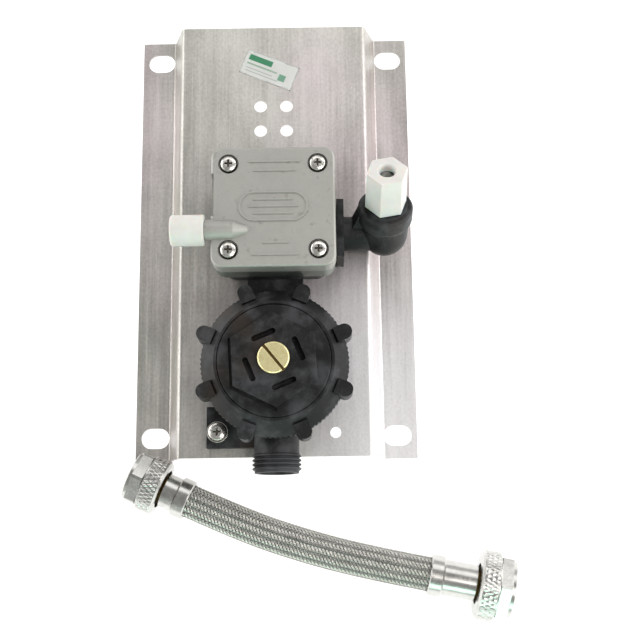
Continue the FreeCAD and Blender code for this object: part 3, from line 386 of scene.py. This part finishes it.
def softened(node, finish, edge_mm, rounds=2):
    """Stands for a CAD node: its own shape, with every sharp edge rounded off by edge_mm."""
    join_mm, flat_deg, sharp_deg = 0.002, 0.6, 33
    mesh = frame["nodes"][node].data.copy()
    work = bmesh.new()
    work.from_mesh(mesh)
    bmesh.ops.remove_doubles(work, verts=work.verts, dist=join_mm * MM)
    bmesh.ops.dissolve_limit(work, angle_limit=math.radians(flat_deg), verts=work.verts, edges=work.edges)
    for face in work.faces:
        face.smooth = True
    work.to_mesh(mesh)
    work.free()
    mesh.materials.clear()
    mesh.materials.append(finish)
    blank = bpy.data.objects.new(node + "_blank", mesh)
    bpy.context.scene.collection.objects.link(blank)
    rounding = blank.modifiers.new("rounding", "BEVEL")
    rounding.width, rounding.segments = edge_mm * MM, rounds
    rounding.limit_method, rounding.angle_limit = "ANGLE", math.radians(sharp_deg)
    rounding.miter_outer = "MITER_ARC"
    shading = blank.modifiers.new("shading", "WEIGHTED_NORMAL")
    shading.keep_sharp = True
    result = plain_mesh(blank)
    bpy.data.objects.remove(blank)
    stand_for(node + "_piece", result, node)


def galvanised():
    zinc = Finish("galvanised", Metallic=1.0)
    nodes = zinc.nodes
    streak = nodes.noise((900, 22, 300), 4, 0.6)
    broad = nodes.noise((160, 6, 60), 3, 0.5)
    cloud = nodes.noise((22, 14, 22), 4, 0.6)
    tint = nodes.noise((9, 7, 9), 2, 0.5, (3, 1, 0))
    flake = nodes.noise((420, 420, 420), 2, 0.7)
    scratch = nodes.noise((3200, 9, 900), 2, 0.4, (7, 0, 0)).step(0.66, 0.74)
    speck = nodes.noise((900, 700, 900), 3, 0.6, (2, 5, 0))
    shade = (0.20 * streak + 0.15 * broad + 0.45 * cloud + 0.20 * speck).step(0.32, 0.68)
    grey = nodes.mix((0.35, 0.345, 0.33), (0.72, 0.71, 0.70), shade)
    hue = nodes.mix((0.97, 0.96, 0.90), (1.0, 0.91, 0.93), tint.step(0.38, 0.62))
    tinted = nodes.make("ShaderNodeMix", {"data_type": "RGBA", "blend_type": "MULTIPLY"},
                        {0: 1.0, 6: grey, 7: hue}, 2)
    place = nodes.make("ShaderNodeTexCoord", output=3)
    apart = nodes.make("ShaderNodeSeparateXYZ", None, {0: place})
    x, y = (Signal(nodes, apart.socket.node.outputs[axis]) for axis in "XY")
    # the zinc is painted brighter towards the outlet side of the inlet end, as painted light where the lamps
    # fall strongest, broken up by the specks
    bright = (x + 0.03 * cloud).step(0.005, 0.055) * (1 - (y + 0.03 * tint).step(-0.05, 0.03))
    zinc_with_painted_light = nodes.mix(tinted, (0.84, 0.84, 0.85), bright * (0.45 + 0.5 * speck))
    zinc.feed("Base Color", nodes.mix(zinc_with_painted_light, (0.86, 0.86, 0.87), scratch * 0.35))
    zinc.feed("Roughness", 0.28 + 0.20 * streak + 0.14 * flake - 0.08 * scratch)
    zinc.bump(streak * 0.7 + flake * 0.3, 0.02, 0.5)
    return zinc.material


softened("mounting_plate", galvanised(), 0.18)


# ---- label ------------------------------------------------------------------------------
# Printed paper label stuck on crooked near the plate's far edge, with one corner lifting: white,
# with a green band, a pale one, two grey rules and a small green square.  It has no lettering.

def printed_paper():
    paper = Finish("printed_paper", Roughness=0.42)
    nodes = paper.nodes
    place = nodes.make("ShaderNodeUVMap", {"uv_map": "print"})
    apart = nodes.make("ShaderNodeSeparateXYZ", None, {0: place})
    u, v = (Signal(nodes, apart.socket.node.outputs[axis]) for axis in "XY")

    def window(low_u, high_u, low_v, high_v):
        """1 inside a rectangle of the print and 0 outside it, with soft ink edges."""
        ink = 0.012
        return (u.step(low_u, low_u + ink) * (1 - u.step(high_u - ink, high_u))
                * v.step(low_v, low_v + ink) * (1 - v.step(high_v - ink, high_v)))

    fibre = nodes.noise((1400, 1400, 1400), 3)
    white = nodes.mix((0.90, 0.92, 0.89), (0.97, 0.98, 0.96), fibre)
    band = nodes.mix(white, (0.10, 0.42, 0.22), window(0.06, 0.52, 0.62, 0.86))
    pale = nodes.mix(band, (0.52, 0.66, 0.54), window(0.06, 0.66, 0.44, 0.52))
    rules = window(0.08, 0.60, 0.28, 0.32) + window(0.08, 0.72, 0.16, 0.20)
    lines = nodes.mix(pale, (0.45, 0.47, 0.45), rules * 0.7)
    square = nodes.mix(lines, (0.16, 0.50, 0.30), window(0.70, 0.84, 0.22, 0.50) * 0.8)
    paper.feed("Base Color", square)
    paper.bump(fibre, 0.01, 0.4)
    return paper.material


def label():
    """A thin sheet, hardly waved, whose top right corner curls up off the plate."""
    low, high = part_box("label_sticker")
    middle = (low + high) / 2
    long, wide, turn = 25.8 * MM, 12.3 * MM, math.radians(-23)
    thick, glued, ripple, curl_rise, curl_from = 0.06 * MM, 0.10 * MM, 0.03 * MM, 6.0 * MM, 1.72
    across, up = 36, 18
    work = bmesh.new()
    grid = [[None] * (up + 1) for _ in range(across + 1)]
    for i in range(across + 1):
        for j in range(up + 1):
            u, v = i / across, j / up
            curl = max(0.0, u + v - curl_from) ** 2 * curl_rise
            wave = ripple * math.sin(9 * u + 4 * v)
            grid[i][j] = work.verts.new(((u - 0.5) * long, (v - 0.5) * wide, glued + wave + curl))
    layer = work.loops.layers.uv.new("print")
    for i in range(across):
        for j in range(up):
            face = work.faces.new((grid[i][j], grid[i + 1][j], grid[i + 1][j + 1], grid[i][j + 1]))
            face.smooth = True
            for loop in face.loops:
                x, y, _ = loop.vert.co
                loop[layer].uv = (x / long + 0.5, y / wide + 0.5)
    bmesh.ops.solidify(work, geom=list(work.faces), thickness=thick)
    work.normal_update()
    mesh = bpy.data.meshes.new("label")
    stuck = Matrix.Translation((middle.x, middle.y, low.z)) @ Matrix.Rotation(turn, 4, "Z")
    bmesh.ops.transform(work, verts=work.verts, matrix=stuck)
    work.to_mesh(mesh)
    work.free()
    mesh.materials.append(printed_paper())
    stand_for("label_paper", mesh, "label_sticker")


label()


# ---- black mouldings --------------------------------------------------------------------
# Valve body, bonnet, ring nut and elbow are moulded in black glass-filled nylon: a fine satin
# grain, cloudy where the glass comes to the surface, with a brown cast in places.

def black_moulding():
    nylon = Finish("black_moulding", Specular_IOR_Level=0.28)
    nodes = nylon.nodes
    grain = nodes.noise((1500, 1500, 1500), 3, 0.6)
    cloud = nodes.noise((90, 90, 90), 5, 0.62)
    tint = nodes.noise((30, 30, 30), 2, 0.5, (5, 2, 1))
    dark = nodes.mix((0.004, 0.0042, 0.0042), (0.046, 0.046, 0.050), cloud.step(0.40, 0.70))
    brown = nodes.mix(dark, (0.030, 0.021, 0.015), tint.step(0.52, 0.70) * 0.8)
    nylon.feed("Base Color", nodes.mix(brown, (0.085, 0.088, 0.092), grain.step(0.60, 0.80) * 0.5))
    nylon.feed("Roughness", 0.36 + 0.16 * cloud + 0.10 * grain)
    nylon.bump(grain * 0.6 + cloud * 0.4, 0.06, 0.55)
    return nylon.material


black_nylon = black_moulding()
softened("valve_body", black_nylon, 0.30)
softened("bonnet", black_nylon, 0.22)
softened("outlet_elbow", black_nylon, 0.35, 3)


# ---- ring nut ---------------------------------------------------------------------------
# Moulded union nut that clamps the bonnet.  Eight finger lugs stand out of a coned skirt,
# and fine upright ribs run round the skirt between them.

def turned_band_tree():
    """Turns a closed half outline about Z, with ridges that lean both ways and so cross.

    The points are a grid's: its columns go round, and its rows are the outline's corners.
    """
    nodes, given = geometry_tree("turned band", {
        "Segments": "Int", "Ridges": "Float", "Ridge height": "Float", "Ridge lean": "Float",
        "Material": "Material"})
    corners = nodes.make("GeometryNodeAttributeDomainSize", None, {0: given["Geometry"]})
    grid = nodes.make("GeometryNodeMeshGrid", None,
                      {"Vertices X": given["Segments"] + 1, "Vertices Y": corners})
    index = nodes.make("GeometryNodeInputIndex")
    column = ((index + 0.5) / corners).floor()
    row = index - column * corners
    angle = 2 * math.pi * column / given["Segments"]

    def of_corner(kind, value):
        return nodes.make("GeometryNodeSampleIndex", {"data_type": kind, "domain": "POINT"},
                          {"Geometry": given["Geometry"], "Value": value, "Index": row})

    spot = of_corner("FLOAT_VECTOR", nodes.make("GeometryNodeInputPosition"))
    apart = nodes.make("ShaderNodeSeparateXYZ", None, {0: spot})
    radius, level = (Signal(nodes, apart.socket.node.outputs[axis]) for axis in "XZ")
    share = nodes.make("GeometryNodeInputNamedAttribute", {"data_type": "FLOAT"}, {"Name": "ridge"})
    lean = given["Ridge lean"] * level
    waves = [0.5 + 0.5 * (given["Ridges"] * angle + side).cos() for side in (lean, 0 - lean)]
    reach = radius + waves[0].least(waves[1]) * given["Ridge height"] * of_corner("FLOAT", share)
    place = nodes.make("ShaderNodeCombineXYZ", None,
                       {"X": reach * angle.cos(), "Y": reach * angle.sin(), "Z": level})
    shaped = nodes.make("GeometryNodeSetPosition", None, {0: grid, "Position": place})
    closed = nodes.make("GeometryNodeMergeByDistance", None, {0: shaped, "Distance": 0.001 * MM})
    return end_tree(nodes, closed, given["Material"])


def rounded_outline(corners, radius, steps=3):
    """The closed outline again, each corner turned into a short curve of several points."""
    made = []
    for i, (r, z, ridge) in enumerate(corners):
        here = Vector((r, z))
        ends = []
        for other in (corners[i - 1], corners[(i + 1) % len(corners)]):
            way = Vector(other[:2]) - here
            ends.append(here + way.normalized() * min(radius, way.length * 0.45))
        for k in range(steps + 1):
            t = k / steps
            spot = ends[0] * (1 - t) ** 2 + here * 2 * t * (1 - t) + ends[1] * t ** 2
            made.append((spot.x, spot.y, ridge))
    return made


turned_band = turned_band_tree()


def ridged_band(name, node, radius_mm, depth_mm, ends_mm, rows_mm, finish, place, **sizes):
    """A thin band sunk in a CAD node's turned face, with its ridges between the first and last row."""
    edge_mm, rounding_mm, sharp_deg = 0.05, 0.05, 40
    near, far = ends_mm
    corners = [(radius_mm - depth_mm, near, 0), (radius_mm - edge_mm, near, 0)]
    corners += [(radius_mm, row, 1) for row in rows_mm]
    corners += [(radius_mm - edge_mm, far, 0), (radius_mm - depth_mm, far, 0)]
    corners = rounded_outline(corners, rounding_mm)
    corners.append(corners[0])
    outline = bpy.data.meshes.new(name + "_outline")
    outline.from_pydata([(r * MM, 0, z * MM) for r, z, _ in corners],
                        [(i, i + 1) for i in range(len(corners) - 1)], [])
    outline.attributes.new("ridge", "FLOAT", "POINT").data.foreach_set("value", [c[2] for c in corners])
    mesh = grown(outline, turned_band, Material=finish, **sizes)
    work = bmesh.new()
    work.from_mesh(mesh)
    bmesh.ops.recalc_face_normals(work, faces=work.faces)
    for edge in work.edges:
        edge.smooth = not (len(edge.link_faces) == 2 and edge.calc_face_angle() > math.radians(sharp_deg))
    work.to_mesh(mesh)
    work.free()
    mesh.transform(place)
    stand_for(name, mesh, node, replaces=False)


def skirt_ribs():
    """The fine ribs' band, which runs through the finger lugs."""
    low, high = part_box("ring_nut")
    foot = Matrix.Translation(((low.x + high.x) / 2, (low.y + high.y) / 2, low.z))
    ridged_band("ring_nut_ribs", "ring_nut", 31.0, 0.4, (0.8, 5.3), (1.1, 5.0), black_nylon, foot,
                Segments=768, Ridges=96.0, Ridge_height=0.34 * MM, Ridge_lean=0.0)


softened("ring_nut", black_nylon, 0.55, 3)
skirt_ribs()


# ---- servo head -------------------------------------------------------------------------
# Square air head in two tumbled zinc castings with the diaphragm clamped between them.  The
# cover's raised frame and bars are plain, and its four screws sink into counterbores.

def zinc_casting(name, dark, light, roughness):
    cast = Finish(name, Metallic=0.75)
    nodes = cast.nodes
    grain = nodes.noise((2200, 2200, 2200), 3, 0.65)
    mottle = nodes.noise((260, 260, 260), 4, 0.6)
    drift = nodes.noise((40, 40, 40), 2, 0.5)
    grey = nodes.mix(dark, light, 0.45 * grain + 0.35 * mottle + 0.2 * drift)
    cast.feed("Base Color", nodes.mix(grey, (0.22, 0.22, 0.19), mottle.step(0.58, 0.75) * 0.6))
    cast.feed("Roughness", roughness + 0.20 * grain + 0.08 * mottle)
    cast.bump(grain * 0.5 + mottle * 0.5, 0.05, 0.5)
    return cast.material


cast_zinc = zinc_casting("zinc_casting", (0.29, 0.285, 0.26), (0.50, 0.49, 0.46), 0.42)
softened("servo_cover", cast_zinc, 0.14)
# The base is the same zinc casting painted darker and greener: painted shade and a painted green reflection.
softened("servo_base", zinc_casting("greened_casting", (0.10, 0.13, 0.11), (0.26, 0.29, 0.26), 0.22), 0.30)


# ---- plated screws ----------------------------------------------------------------------
# Bright nickel-plated machine screws with domed heads and cross recesses: four through the
# cover, one through the tab, two up through the plate from behind.  On the cover and tab screws the recesses
# and head edges are painted dark as painted shade.

def nickel_screw(name, crown=None):
    """Plating, painted dark below the crown of a head that faces up, as painted shade in its recess and round
    its edge.
    """
    plate = Finish(name, Metallic=1.0)
    nodes = plate.nodes
    smudge = nodes.noise((700, 700, 700), 3, 0.6)
    spot = nodes.noise((260, 260, 260), 2, 0.5, (1, 4, 2))
    tone = nodes.mix((0.66, 0.64, 0.59), (0.86, 0.84, 0.79), smudge)
    wear_and_painted_shade = nodes.mix(tone, (0.42, 0.39, 0.33), spot.step(0.60, 0.76) * 0.5)
    if crown is not None:
        apart = nodes.make("ShaderNodeSeparateXYZ", None, {0: nodes.make("ShaderNodeTexCoord", output=3)})
        height = Signal(nodes, apart.socket.node.outputs["Z"])
        # Below the crown the plating is painted dark brown: painted shade in the recess and round the head's
        # edge.
        wear_and_painted_shade = nodes.mix((0.16, 0.145, 0.12), wear_and_painted_shade, height.step(crown - 1.3 * MM, crown - 0.5 * MM))
    plate.feed("Base Color", wear_and_painted_shade)
    plate.feed("Roughness", 0.16 + 0.20 * smudge)
    plate.bump(smudge, 0.02, 0.3)
    return plate.material


bright_screw = nickel_screw("nickel_screw")
for node in ("cover_screws", "tab_screw"):
    softened(node, nickel_screw(node + "_nickel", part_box(node)[1].z), 0.10)
for node in ("rear_screws", "tab_washer", "tab_nut"):
    softened(node, bright_screw, 0.10)


# ---- brass flow screw -------------------------------------------------------------------
# Turned brass cheese head in the middle of the bonnet, slotted for a screwdriver.  Below its
# crown the brass is painted dark as painted shade: in the slot, round the edge, and on the hose tails, which
# share it.

def turned_brass():
    brass = Finish("turned_brass", Metallic=0.8)
    nodes = brass.nodes
    low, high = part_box("flow_screw")
    middle, crown = (low + high) / 2, high.z
    place = nodes.make("ShaderNodeTexCoord", output=3)
    centred = nodes.make("ShaderNodeMapping", None, {"Vector": place, "Location": (-middle.x, -middle.y, 0)})
    rings = nodes.make("ShaderNodeTexWave", {"wave_type": "RINGS", "rings_direction": "Z"},
                       {"Vector": centred, "Scale": 700.0, "Distortion": 0.6, "Detail": 2.0})
    stain = nodes.noise((500, 500, 500), 3)
    tone = nodes.mix((0.90, 0.72, 0.28), (1.0, 0.95, 0.62), 0.5 * rings + 0.5 * stain)
    apart = nodes.make("ShaderNodeSeparateXYZ", None, {0: place})
    height = Signal(nodes, apart.socket.node.outputs["Z"])
    # Below the crown the brass is painted dark brown as painted shade; the hose tails lie far below it and
    # are all painted shade.
    unshaded_crown = height.step(crown - 0.7 * MM, crown - 0.15 * MM)
    brass.feed("Base Color", nodes.mix((0.20, 0.13, 0.04), tone, unshaded_crown))
    brass.feed("Roughness", 0.20 + 0.14 * stain + 0.05 * rings)
    brass.bump(rings, 0.012, 0.5)
    return brass.material


brass_turned = turned_brass()
softened("flow_screw", brass_turned, 0.15)


# ---- white nylon fittings ---------------------------------------------------------------
# Cap nut on the air tube and tapered hexagon nut on the outlet tube, in natural nylon.

def white_moulding():
    nylon = Finish("white_moulding", Subsurface_Weight=0.35, Subsurface_Scale=0.004)
    nodes = nylon.nodes
    cloud = nodes.noise((160, 160, 160), 3)
    fine = nodes.noise((1200, 1200, 1200), 2)
    nylon.feed("Base Color", nodes.mix((0.57, 0.565, 0.53), (0.70, 0.695, 0.66), cloud))
    nylon.feed("Roughness", 0.34 + 0.16 * fine)
    nylon.bump(cloud * 0.6 + fine * 0.4, 0.04, 0.4)
    return nylon.material


white_nylon = white_moulding()
softened("outlet_tube_nut", white_nylon, 0.40, 3)
softened("air_tube_nut", white_nylon, 0.25, 3)


# ---- hose ends --------------------------------------------------------------------------
# Plated crimp sleeves over brass tails, and a swivel nut at each end that is hexagonal at its
# mouth and knurled behind.  The knurl is a thin band of crossed ridges sunk in the nut's side.

def polished_nickel():
    plate = Finish("polished_nickel", Metallic=1.0)
    nodes = plate.nodes
    smudge = nodes.noise((350, 350, 350), 4, 0.6)
    fine = nodes.noise((2400, 2400, 2400), 2)
    plate.feed("Base Color", nodes.mix((0.44, 0.43, 0.41), (0.70, 0.69, 0.66), smudge))
    plate.feed("Roughness", 0.15 + 0.16 * smudge + 0.04 * fine)
    plate.bump(smudge, 0.015, 0.3)
    return plate.material


polished = polished_nickel()


def end_place(spot, heading):
    """Stands a piece turned about Z at a hose end, facing along the heading in the level plane."""
    turn = Matrix.Rotation(math.radians(heading), 4, "Z") @ Matrix.Rotation(math.radians(90), 4, "Y")
    return Matrix.Translation(spot) @ turn


for side, spot, heading, sleeve_mm, nut_r in (("left", ROUTE[0], 155.5, 12.3, 12.0),
                                              ("right", ROUTE[-1], -11.5, 20.5, 14.4)):
    softened(side + "_nut", polished, 0.25, 3)
    back, row_step, row_count = sleeve_mm + 0.4, 0.25, 25
    rows = [back + 1.4 + row_step * k for k in range(row_count)]
    ridged_band(side + "_nut_knurl", side + "_nut", nut_r - 0.03, 0.3, (back + 1.1, back + 7.8), rows,
                polished, end_place(spot, heading),
                Segments=360, Ridges=45.0, Ridge_height=0.32 * MM, Ridge_lean=1500.0)


# ---- pieces left as the CAD has them ----------------------------------------------------
# Inner works and small fittings, seen only through bores or from behind, in their own finishes.

def plain_finish(name, dark, light, metallic, roughness, lumps):
    made = Finish(name, Metallic=metallic)
    grain = made.nodes.noise((lumps, lumps, lumps), 4, 0.6)
    made.feed("Base Color", made.nodes.mix(dark, light, grain))
    made.feed("Roughness", roughness + 0.15 * grain)
    made.bump(grain, 0.03, 0.4)
    return made.material


inner = {
    "black_rubber": plain_finish("black_rubber", (0.015, 0.015, 0.015), (0.045, 0.045, 0.043), 0.0, 0.6, 900),
    "grey_plastic": plain_finish("grey_plastic", (0.40, 0.41, 0.40), (0.60, 0.61, 0.60), 0.0, 0.4, 500),
    "spring_steel": plain_finish("spring_steel", (0.45, 0.45, 0.45), (0.70, 0.70, 0.70), 1.0, 0.25, 1500),
    "nickel_plate": polished, "brass": brass_turned, "white_moulding": white_nylon,
    "zinc_casting": cast_zinc, "plated_screw": bright_screw, "black_moulding": black_nylon,
}
for node, cad in frame["nodes"].items():
    if not cad.hide_render:
        for holder in cad.material_slots:
            holder.material = inner[slot_of[node]]
